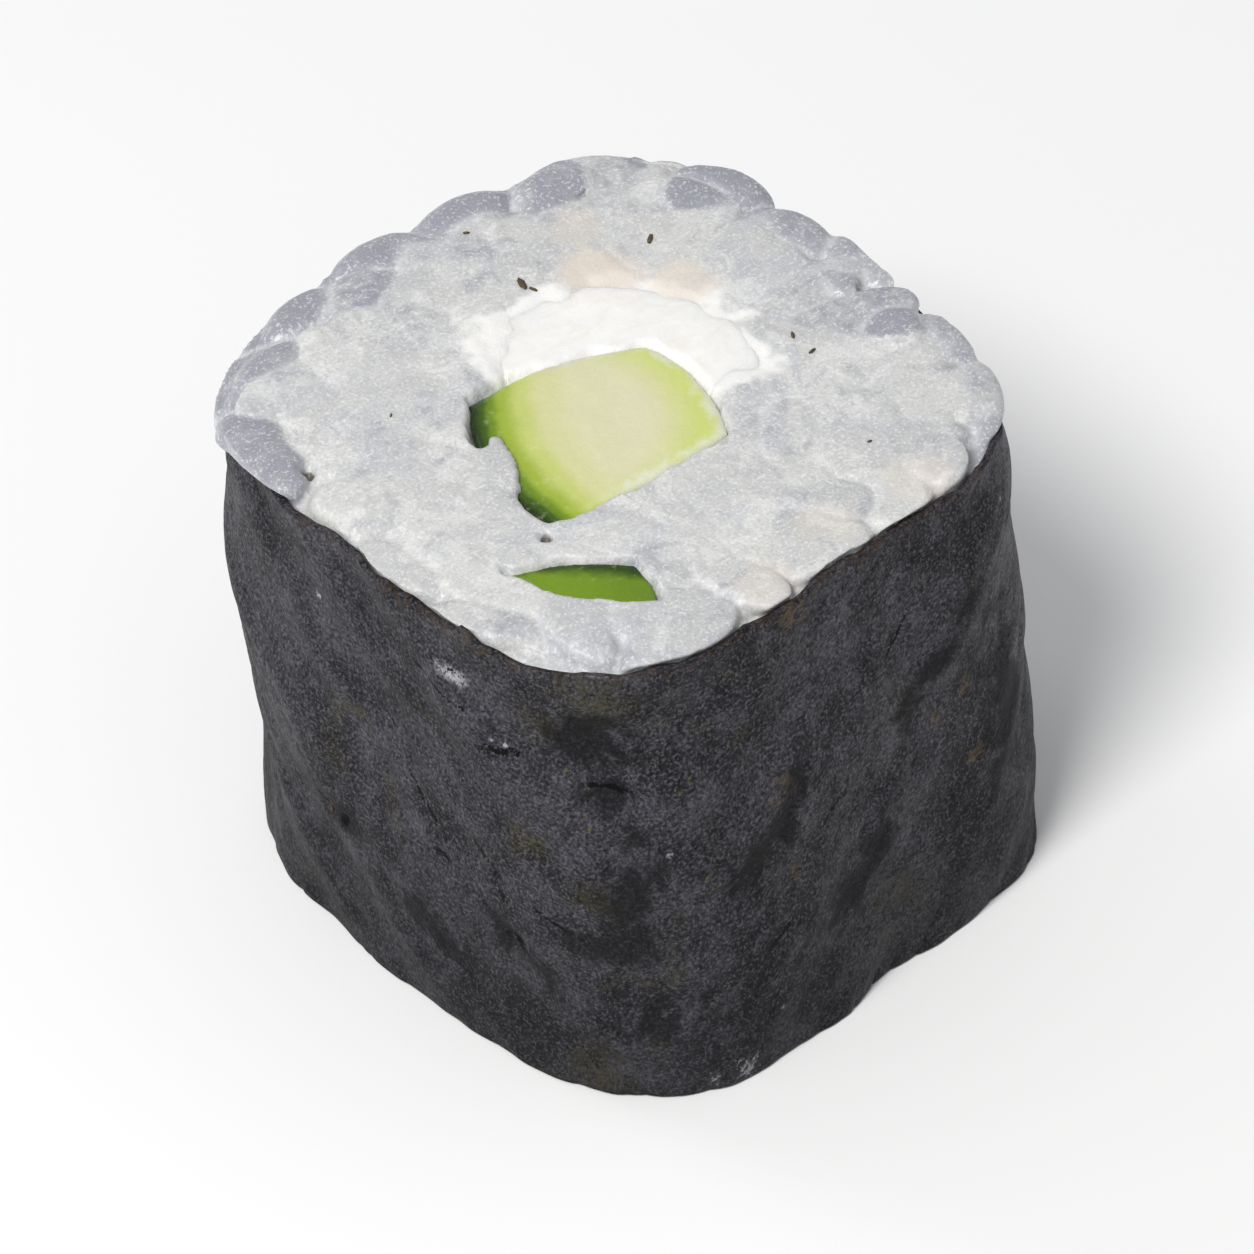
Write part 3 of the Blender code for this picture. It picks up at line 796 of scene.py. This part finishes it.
class Finish:
    """One material: its Principled shader and the nodes that feed it."""

    def __init__(self, name, **constants):
        self.material = bpy.data.materials.new(name)
        self.material.use_nodes = True
        self.tree = self.material.node_tree
        self.shader = self.tree.nodes["Principled BSDF"]
        for key, value in constants.items():
            self.shader.inputs[key.replace("_", " ")].default_value = value
        self.place = self.node("TexCoord", output="Object")

    def scatter(self, weight, radius, depth):
        """Lets light into the material: how much, and how deep each colour goes."""
        settings = {"Weight": weight, "Radius": radius, "Scale": depth}
        for key, value in settings.items():
            self.shader.inputs["Subsurface " + key].default_value = value

    def node(self, kind, settings=None, sockets=None, output=0):
        """Adds any node: its settings first, then the values or links of its sockets."""
        made = self.tree.nodes.new("ShaderNode" + kind)
        for key, value in (settings or {}).items():
            if key == "stops":
                self.set_stops(made.color_ramp, value)
            else:
                setattr(made, key, value)
        for key, value in (sockets or {}).items():
            self.feed(made.inputs[key], value)
        return Field(self, made.outputs[output])

    def set_stops(self, ramp, stops):
        ramp.interpolation = "EASE"
        while len(ramp.elements) < len(stops):
            ramp.elements.new(0.5)
        for element, (position, colour) in zip(ramp.elements, stops):
            element.position = position
            element.color = srgb(*colour)

    def feed(self, socket, value):
        if isinstance(value, Field):
            self.tree.links.new(value.socket, socket)
        else:
            socket.default_value = value

    def noise(self, size, detail=3.0, roughness=0.55, distortion=0.0, at=None):
        """Noise from 0 to 1, with features this many millimetres wide."""
        sockets = {"Vector": at or self.place, "Scale": 1 / (size * MM), "Detail": detail}
        sockets.update({"Roughness": roughness, "Distortion": distortion})
        return self.node("TexNoise", {}, sockets)

    def cells(self, size):
        sockets = {"Vector": self.place, "Scale": 1 / (size * MM)}
        return self.node("TexVoronoi", {}, sockets)

    def stretched(self, scale, turn, kind="POINT"):
        sockets = {"Vector": self.place, "Scale": scale, "Rotation": turn}
        return self.node("Mapping", {"vector_type": kind}, sockets)

    def step(self, value, low, high):
        """0 below low and 1 above high, smooth between. It falls if low is the larger."""
        settings = {"interpolation_type": "SMOOTHSTEP"}
        sockets = {"Value": value, "From Min": low, "From Max": high}
        return self.node("MapRange", settings, sockets)

    def blend(self, share, first, second):
        sockets = {0: share, 6: first, 7: second}
        return self.node("Mix", {"data_type": "RGBA"}, sockets, 2)

    def layers(self, colour, *tints):
        """Lays tints over a colour, each with its share and its sRGB levels."""
        for share, levels in tints:
            colour = self.blend(share, colour, srgb(*levels))
        return colour

    def stored(self, name):
        return self.node("Attribute", {"attribute_name": name}, {}, "Fac")

    def distance(self, point):
        """From a point, in metres."""
        sockets = {0: self.place, 1: point}
        return self.node("VectorMath", {"operation": "DISTANCE"}, sockets, "Value")

    def part(self, axis):
        return self.node("SeparateXYZ", {}, {0: self.place}, axis)

    def spot(self, point, radius, ragged, core=0.45):
        """1 in a ragged spot round a point, fading to 0 at its radius."""
        return self.step(self.distance(point) + ragged, radius, radius * core)

    def slit(self, degrees, height, length, width, slope, ragged, core=0.5):
        """1 along a short line on the sheet, which rises by this slope, to 0 beside it.
        The slope is in degrees, and the half length and half width in millimetres."""
        slope = math.radians(slope)
        middle = on_wall(degrees, height)
        ahead = Vector(on_wall(degrees + 2, height)) - Vector(on_wall(degrees - 2, height))
        along = ahead.normalized() * math.cos(slope) + Vector((0, 0, math.sin(slope)))
        outward = ahead.normalized().cross(Vector((0, 0, 1)))
        frame_turn = Matrix((along, outward.cross(along), outward)).transposed().to_euler()
        sockets = {"Vector": self.place, "Location": middle, "Rotation": frame_turn}
        sockets["Scale"] = (length * MM, width * MM, 3 * MM)
        local = self.node("Mapping", {"vector_type": "TEXTURE"}, sockets)
        reach = self.node("VectorMath", {"operation": "LENGTH"}, {0: local}, "Value")
        return self.step(reach + ragged, 1.0, core)

    def wear(self, colour, roughness=None, height=None, depth=0.0, coat=None):
        """Feeds the shader. The height is a bump, as deep as the depth in metres."""
        inputs = {"Base Color": colour, "Roughness": roughness, "Coat Weight": coat}
        if height is not None:
            sockets = {"Height": height, "Distance": depth, "Strength": 1.0}
            inputs["Normal"] = self.node("Bump", {}, sockets)
        for key, value in inputs.items():
            if value is not None:
                self.feed(self.shader.inputs[key], value)
        return self.material


def strongest(first, *others):
    """The greatest of several values over a surface."""
    for other in others:
        first = first.math("MAXIMUM", first, other)
    return first


def srgb(red, green, blue):
    """A linear colour from its sRGB levels."""
    levels = (red, green, blue)
    return tuple(((level / 255 + 0.055) / 1.055) ** 2.4 for level in levels) + (1,)


def on_wall(degrees, height):
    """A point on the sheet, from degrees round and millimetres up."""
    return (*wall_spot(math.radians(degrees), height * MM), height * MM)


def nori_finish():
    """Roasted seaweed: near black, with a fine grain and olive specks, painted shade in its
    hollows, creases and pits, and painted glints.
    """
    finish = Finish("nori_roasted", IOR=1.18, Coat_Roughness=0.38)
    slanting = finish.stretched((1.3, 1, 1), (0, -0.70, 0.785), "TEXTURE")
    soft = finish.noise(5.0, 4, 0.6)
    mottle = finish.noise(1.5, 5, 0.7, 0.4, slanting)
    threads = finish.noise(0.5, 4, 0.7, 0.6, slanting)
    fine = finish.noise(0.16, 3, 0.7)
    colour = finish.blend(finish.step(soft, 0.36, 0.64), srgb(32, 31, 35), srgb(53, 52, 58))
    colour = finish.layers(
        colour,
        (finish.step(mottle, 0.46, 0.7) * 0.45, (76, 75, 83)),
        (finish.step(threads, 0.46, 0.34) * 0.6, (20, 20, 22)),
        # Fine light speckle: partly the sheet's own grain, partly painted glints.
        (finish.step(fine, 0.5, 0.66) * 0.4, (118, 116, 124)),
        (finish.step(fine, 0.48, 0.36) * 0.7, (14, 14, 15)),
    )

    def spots(places, spread, ragged, core=0.45):
        """1 in ragged spots on the sheet, from degrees, height and radius."""
        return [
            finish.spot(on_wall(degrees, height), radius * spread * MM, ragged, core)
            for degrees, height, radius in places
        ]

    ragged = (mottle - 0.5) * (7 * MM)
    olive = finish.step(finish.noise(4.2, 4, 0.62, 0.6), 0.57, 0.74) * 0.6
    olive = strongest(olive, *spots(OLIVE_PATCHES, 1.3, ragged * 0.7, 0.0))
    specks = finish.step(finish.cells(0.6), 0.22, 0.1)
    specks = specks * finish.step(finish.noise(2.6, 3, 0.6), 0.52, 0.66)
    flecks = strongest(*spots(BROWN_SPOTS, 1.0, ragged * 0.4))
    level = finish.part("Z")
    top = finish.step(level, PIECE_HEIGHT - 1.1 * MM, PIECE_HEIGHT - 0.3 * MM)
    patchy = finish.step(threads, 0.45, 0.6)
    slit_ragged = (threads - 0.5) * 4 + (fine - 0.5) * 2
    broken = finish.step(threads * 0.6 + fine * 0.8, 0.60, 0.76)
    # The white smear is starch on the sheet; the small white specks are painted glints.
    starch_and_glints = [finish.slit(*STARCH_SMEAR, slit_ragged * 0.6) * broken]
    for degrees, height, radius in GLINT_SPECKS:
        broken = (threads - 0.5) * (4 * radius * MM) + (fine - 0.5) * (3 * radius * MM)
        starch_and_glints.append(finish.spot(on_wall(degrees, height), radius * MM, broken))
    # Painted shade: the wall darkens towards the bottom and in bands down the hollows between the
    # folds, and its coat is dimmed there.
    ragged_edge = (mottle - 0.5) * 2.4 + (soft - 0.5) * 1.6
    low = finish.step(level, 0.55 * PIECE_HEIGHT, 0.0)
    dark = strongest(low * 0.5, *(finish.slit(*place, ragged_edge, 0.3) for place in PAINTED_SHADE_BANDS))
    # Painted shade: near-black slits in the small creases and pits, where the coat is taken away
    # too.
    crease_shade = strongest(*(finish.slit(*place, slit_ragged) for place in SHADED_CREASES))
    colour = finish.layers(
        colour,
        (olive * finish.step(threads + fine * 0.5, 0.5, 0.9) * 0.7, (70, 66, 40)),
        (specks * 0.55, (104, 94, 52)),
        (flecks * patchy * 0.6, (98, 82, 58)),
        (top * patchy * 0.4, (78, 60, 38)),
        (strongest(*starch_and_glints) * 0.75, (182, 182, 188)),
        # The painted shade of the bands and of the lower wall.
        (dark * 0.75, (20, 20, 22)),
        (crease_shade * 0.95, (4, 4, 4)),
    )
    height = fine * 0.45 + threads * 0.8 + mottle * 1.3
    roughness = 0.38 + soft * 0.12 + fine * 0.25
    gloss = finish.step(soft * 0.7 + mottle * 0.8 + threads * 0.5 + fine, 1.25, 1.95) * 0.45
    coat = gloss * (1 - dark * 0.8) * (1 - crease_shade)
    return finish.wear(colour, roughness, height, 0.12 * MM, coat)


# Slits: degrees round, height, half length, half width, and slope in degrees. First the
# white smear on the left side, then painted shade in the small creases and pits.
STARCH_SMEAR = (203.5, 21.6, 1.25, 0.55, -8)
SHADED_CREASES = (
    (194.5, 9.7, 0.55, 0.36, -40), (191.5, 12.2, 2.4, 0.13, -44), (204.5, 11.4, 1.1, 0.24, -39),
    (206.5, 9.9, 0.7, 0.18, -50), (208.3, 7.4, 0.50, 0.32, -10), (165.6, 7.9, 0.9, 0.32, -44),
    (170.0, 7.8, 0.45, 0.38, 80), (198.0, 20.6, 2.8, 0.13, -11), (210.5, 18.5, 0.9, 0.26, 12),
    (225.5, 17.5, 1.6, 0.18, -4), (215.0, 9.6, 1.8, 0.12, -22), (183.0, 15.5, 1.2, 0.10, -36),
    (262.0, 12.0, 1.3, 0.13, 42), (248.0, 7.2, 1.1, 0.15, 35), (281.0, 18.4, 1.4, 0.12, 50),
    (120.0, 12.0, 1.2, 0.16, 40), (40.0, 9.0, 1.2, 0.16, -40),
)
# Spots of painted highlight, small white glints on the sheet: degrees round, height and radius in
# millimetres.
GLINT_SPECKS = (
    (233, 14.0, 0.22), (298, 17.6, 0.24), (307, 21.4, 0.22), (285, 15.2, 0.16),
    (169, 19.8, 0.18), (240, 0.9, 0.5), (235, 0.7, 0.35), (206, 16.0, 0.12), (218, 14.6, 0.12),
    (262, 17.5, 0.13), (247, 3.2, 0.15), (90, 16.0, 0.4), (242, 1.3, 0.16), (238, 1.5, 0.14),
    (209.5, 19.0, 0.16), (211.6, 18.9, 0.14), (230.2, 17.7, 0.16), (207.0, 11.0, 0.12),
    (167.3, 8.3, 0.16), (169.0, 6.9, 0.12),
)


def crumb_finish():
    """Crumbs: dark brown-green, drier than the sheet."""
    finish = Finish("nori_crumb")
    grain = finish.noise(0.3, 3, 0.6)
    colour = finish.blend(grain, srgb(52, 42, 24), srgb(104, 84, 56))
    return finish.wear(colour, 0.5 + grain * 0.2, grain, 0.03 * MM)


OLIVE_PATCHES = (
    (226, 22.6, 2.0), (218, 20.6, 1.2), (223, 11.6, 1.3), (219, 1.2, 2.0), (213, 14.0, 1.2),
    (130, 9.0, 2.0), (60, 14.0, 2.2), (20, 5.0, 1.8),
)
BROWN_SPOTS = (
    (259, 23.4, 1.0), (295, 13.2, 0.8), (252, 14.6, 1.1), (296, 9.3, 0.9), (253, 9.9, 0.8),
    (275, 5.1, 0.7), (288, 12.6, 0.7), (166, 7.9, 0.5), (95, 12.0, 1.0), (48, 7.0, 0.9),
)
# Painted shade in the hollows between the folds and over the dents, as slits.
PAINTED_SHADE_BANDS = (
    (224, 20.0, 3.0, 2.4, 0), (225.5, 17.3, 2.2, 1.2, 0), (227, 12.0, 5.0, 1.9, 82),
    (223, 8.4, 2.8, 1.4, -12), (230, 4.2, 3.6, 2.2, 14), (211, 6.4, 3.2, 1.4, -36),
    (190, 5.0, 4.0, 1.6, -30), (250, 13.0, 5.6, 1.5, 48), (268, 7.0, 5.0, 1.5, 42),
    (286, 15.0, 5.0, 1.3, 46), (304, 11.0, 7.0, 2.2, 88), (170, 7.8, 1.6, 1.1, -40),
    (20, 14.0, 5.0, 1.6, 40), (60, 9.0, 5.0, 1.6, -40), (120, 12.0, 5.0, 1.6, 42),
)


def rice_finish():
    """Cooked rice: white where it is cut, clearer and greyer on whole grains."""
    finish = Finish("rice_cooked", IOR=1.4, Coat_Roughness=0.2)
    finish.scatter(0.35, (1.0, 0.96, 0.92), 0.9 * MM)
    tone = finish.stored("tone")
    clear = finish.stored("clear")
    groove = finish.stored("groove")
    cloud = finish.noise(2.2, 4, 0.65, 0.5)
    mottle = finish.noise(0.9, 4, 0.65, 0.8)
    fine = finish.noise(0.17, 3, 0.7)
    light = tone * 0.18 + cloud * 0.6 + mottle * 0.5
    colour = finish.blend(finish.step(light, 0.38, 0.88), srgb(192, 193, 193), srgb(219, 219, 216))
    tinted = finish.noise(4.5, 4, 0.65, 0.6)
    smeared = finish.noise(3.0, 6, 0.72, 0.9)
    clearness = finish.step(clear + (cloud - 0.5) * 1.5 + (mottle - 0.5) * 1.1, 0.05, 0.95)
    # Painted light: lighter outlines along the gaps between grains, stronger on the clear grains,
    # as if light shone through their edges.
    painted_edge_light = groove * finish.step(mottle, 0.30, 0.55)
    colour = finish.layers(
        colour,
        (finish.step(tinted, 0.5, 0.62) * 0.4, (184, 187, 198)),
        (finish.step(smeared, 0.51, 0.57) * 0.45, (234, 234, 232)),
        (clearness, (152, 153, 163)),
        (painted_edge_light * (0.15 + clearness * 0.5), (226, 226, 228)),
        # Fine light speckle: partly the rice's own texture, partly painted glints.
        (finish.step(fine, 0.52, 0.66) * 0.5, (246, 246, 246)),
        (finish.step(fine, 0.47, 0.34) * 0.35, (172, 174, 180)),
        (finish.stored("cheesy") * 0.95, (247, 246, 244)),
    )
    ragged = (cloud - 0.5) * (2.2 * MM)
    for across, away, radius, share in WARM_PATCHES:
        place = (*seen_from_front(across, away), PIECE_HEIGHT)
        patch = finish.spot(place, radius * MM, ragged)
        colour = finish.layers(colour, (patch * share, (228, 216, 203)))
    upper_half = finish.step(finish.part("Z"), 0.5 * PIECE_HEIGHT, 0.6 * PIECE_HEIGHT)
    # Painted shade darkens the small pits between the grains.
    for across, away, radius in RICE_PITS:
        from_hole = flat_distance(finish, seen_from_front(across, away))
        from_hole = from_hole + (mottle - 0.5) * (0.5 * MM)
        pit_shade = finish.step(from_hole, radius * MM, radius * 0.5 * MM) * upper_half
        colour = finish.layers(colour, (pit_shade * 0.85, (70, 62, 44)))
    height = fine * 0.45 + mottle * 0.9
    roughness = 0.30 + fine * 0.30 - clearness * 0.06
    return finish.wear(colour, roughness, height, 0.07 * MM, clearness * 0.4 + 0.12)


# Warm tints on the upper face: across, away, radius and share.
WARM_PATCHES = (
    (-0.4, 8.9, 2.3, 0.8), (3.3, 8.0, 2.0, 0.65), (-1.6, 12.0, 1.6, 0.3),
    (9.6, -8.6, 1.9, 0.25), (13.8, -5.6, 2.2, 0.35), (6.9, -12.4, 1.9, 0.35),
)

# The cucumber's flesh shades round the middle of its curved skin, in millimetres.
SKIN_MIDDLE = np.array((4.3, -3.1))
SKIN_RADIUS = 12.3
CORE_MIDDLE = np.array((-3.6, 1.5))


def flat_distance(finish, middle):
    """From an upright line through a point."""
    across = finish.part("X") - float(middle[0])
    away = finish.part("Y") - float(middle[1])
    return (across * across + away * away) ** 0.5


def along_floor(finish, direction):
    """How far a place lies along a level direction, counted from the roll's middle."""
    x, y = (float(share) for share in direction)
    return finish.part("X") * x + finish.part("Y") * y - float(CENTRE @ direction)


def cucumber_finish():
    """Wet cucumber: a dark skin line, green flesh under it and pale flesh further in."""
    finish = Finish("cucumber_cut", IOR=1.38, Coat_Weight=0.2, Coat_Roughness=0.12)
    finish.scatter(0.4, (0.9, 1.0, 0.45), 1.3 * MM)
    cloud = finish.noise(1.7, 3, 0.6)
    fine = finish.noise(0.4, 3, 0.6)
    from_skin = flat_distance(finish, SKIN_MIDDLE * MM + CENTRE) + (cloud - 0.5) * (0.8 * MM)
    ends = {"Value": from_skin, "From Min": 4.0 * MM, "From Max": SKIN_RADIUS * MM}
    share = finish.node("MapRange", {}, ends)
    colour = finish.node("ValToRGB", {"stops": FLESH_TO_SKIN}, {"Fac": share})
    from_core = flat_distance(finish, CORE_MIDDLE * MM + CENTRE) + (fine - 0.5) * (0.6 * MM)
    band = finish.step(from_core, 4.3 * MM, 7.0 * MM)
    band = band * (1 - finish.step(from_core, 6.9 * MM, 8.2 * MM) * 0.45)
    inner = 1 - finish.step(share, 0.45, 0.75)
    edge = finish.stored("edge") + (cloud - 0.5) * 1.6 + (fine - 0.5) * 1.2
    film = finish.step(edge, 0.75, 0.05) * inner
    colour = finish.layers(
        colour,
        (band * inner * 0.8, (200, 214, 104)),
        (film * 0.75, (226, 228, 212)),
        (finish.step(fine, 0.55, 0.75) * 0.15, (238, 238, 216)),
    )
    return finish.wear(colour, 0.2 + fine * 0.2, fine * 0.6 + cloud * 0.4, 0.05 * MM)


# The cucumber's colours from the pale flesh, at 0, to the skin, at 1.
FLESH_TO_SKIN = (
    (0.0, (221, 217, 184)), (0.42, (218, 216, 178)), (0.61, (212, 213, 160)),
    (0.73, (194, 203, 118)), (0.83, (158, 178, 60)), (0.895, (108, 138, 26)),
    (0.94, (62, 92, 14)), (0.985, (34, 54, 6)),
)


def strip_finish():
    """Cucumber skin: a nearly black green edge, and mid green under it."""
    finish = Finish("cucumber_skin", IOR=1.36)
    finish.scatter(0.25, (0.6, 1.0, 0.3), 0.8 * MM)
    cloud = finish.noise(1.1, 3, 0.6)
    fine = finish.noise(0.3, 3, 0.6)
    away = along_floor(finish, AWAY) + (cloud - 0.5) * (1.1 * MM)
    side = finish.step(along_floor(finish, ACROSS), -3.5 * MM, 4.5 * MM)
    darkness = finish.step(away + side * (0.7 * MM), -11.5 * MM, -10.6 * MM)
    colour = finish.layers(
        srgb(116, 146, 34),
        (side, (90, 120, 22)),
        (darkness, (40, 68, 8)),
        (finish.step(fine, 0.6, 0.75) * 0.3, (158, 184, 74)),
    )
    return finish.wear(colour, 0.34 + fine * 0.2, fine + cloud, 0.05 * MM)


def cheese_finish():
    """Soft white cheese, spread and dragged by the knife."""
    finish = Finish("cheese_soft")
    finish.scatter(0.35, (1.0, 0.9, 0.75), 1.2 * MM)
    smear = finish.noise(1.4, 4, 0.6, 0.8, finish.stretched((1, 1.8, 1), (0, 0, 0.8)))
    fine = finish.noise(0.35, 3, 0.6)
    colour = finish.blend(finish.step(smear, 0.35, 0.75), srgb(246, 245, 243), srgb(240, 237, 232))
    return finish.wear(colour, 0.34 + fine * 0.2, smear + fine * 0.5, 0.05 * MM)


def floor_finish():
    finish = Finish("floor_pale", Roughness=0.7)
    drift = finish.noise(90, 2, 0.5)
    colour = finish.blend(drift, srgb(250, 250, 251), srgb(252, 252, 252))
    return finish.wear(colour)


# The studio.


def add_light(name, place, target, size, power, colour):
    data = bpy.data.lights.new(name, "AREA")
    data.shape = "DISK"
    data.size = size
    data.energy = power
    data.color = colour
    aim(add_object(name, data), place, target)


def make_studio():
    bm = bmesh.new()
    bmesh.ops.create_grid(bm, x_segments=1, y_segments=1, size=1.5)
    floor = add_piece("floor", bm, floor_finish())
    world = bpy.data.worlds.new("studio")
    world.use_nodes = True
    sky = world.node_tree.nodes["Background"]
    sky.inputs["Color"].default_value = (0.97, 0.982, 1.0, 1)
    sky.inputs["Strength"].default_value = 0.42
    bpy.context.scene.world = world
    add_light("key", (-0.35, -0.11, 0.50), (0, 0, 0.015), 0.22, 2.85, (1.0, 0.99, 0.97))
    add_light("rim", (-0.15, 0.55, 0.30), (0, 0, 0.02), 0.25, 0.5, (0.97, 0.985, 1.0))
    settings = bpy.context.scene.view_settings
    settings.view_transform = "Standard"
    settings.look = "None"
    settings.exposure = 0.0
    settings.gamma = 1.0


def make_camera():
    """At the photograph's viewing angle."""
    level = -AWAY * math.cos(CAMERA_RISE)
    back = Vector((level[0], level[1], math.sin(CAMERA_RISE)))
    target = Vector((0, 0, 11.3 * MM))
    data = bpy.data.cameras.new("camera")
    data.lens = 386
    data.clip_start = 0.01
    camera = add_object("camera", data)
    aim(camera, target + back * 0.6, target)
    bpy.context.scene.camera = camera


def dress(piece, slot, *nodes):
    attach(piece, "root")
    if nodes:
        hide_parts(*nodes)


# Millimetres: how far a filling's top lies below the cut, its voxel, its relief and how
# much its edge is worn.
WEDGE_SIZES = (0.14, 0.2, 0.03, 0.05)
PEEL_SIZES = (0.14, 0.16, 0.03, 0.05)
SPREAD_SIZES = (0.12, 0.2, 0.04, 0.03)

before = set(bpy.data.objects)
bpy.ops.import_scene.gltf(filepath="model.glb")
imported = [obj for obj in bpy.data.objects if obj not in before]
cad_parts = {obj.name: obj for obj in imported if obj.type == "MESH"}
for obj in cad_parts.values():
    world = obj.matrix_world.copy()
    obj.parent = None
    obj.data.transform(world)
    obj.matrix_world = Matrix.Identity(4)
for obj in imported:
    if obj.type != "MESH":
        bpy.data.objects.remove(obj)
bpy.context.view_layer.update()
# The solids were moved so that their box is centred, and the stick tells how far.
STICK_CORNER = np.array(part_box("cucumber_stick")[0][:2])
CENTRE = np.zeros(2)
CENTRE = STICK_CORNER - arc_chain(CUCUMBER_ARCS).min(axis=0)

make_studio()
make_camera()
rice = rice_finish()
upper_face = make_rice_face("rice_upper_face", 1, 0.15 * MM, 190000, rice)
dress(upper_face, "rice", "rice")
dress(make_rice_face("rice_lower_face", -1, 0.24 * MM, 90000, rice), "rice", "rice")
dress(make_rice_core(rice), "rice", "rice")
nori = nori_finish()
dress(make_nori(nori), "nori", "nori_wrap")
dress(make_crumbs(upper_face, crumb_finish()), "nori")
stick = make_filling("cucumber_wedge", CUCUMBER_ARCS, WEDGE_SIZES, cucumber_finish())
dress(stick, "cucumber_flesh", "cucumber_stick")
strip = make_filling("cucumber_peel", STRIP_ARCS, PEEL_SIZES, strip_finish())
dress(strip, "cucumber_skin", "cucumber_strip")
cheese = make_filling("cheese_spread", CHEESE_ARCS, SPREAD_SIZES, cheese_finish(), CUCUMBER_ARCS)
dress(cheese, "soft_cheese", "soft_cheese")

bpy.context.view_layer.update()
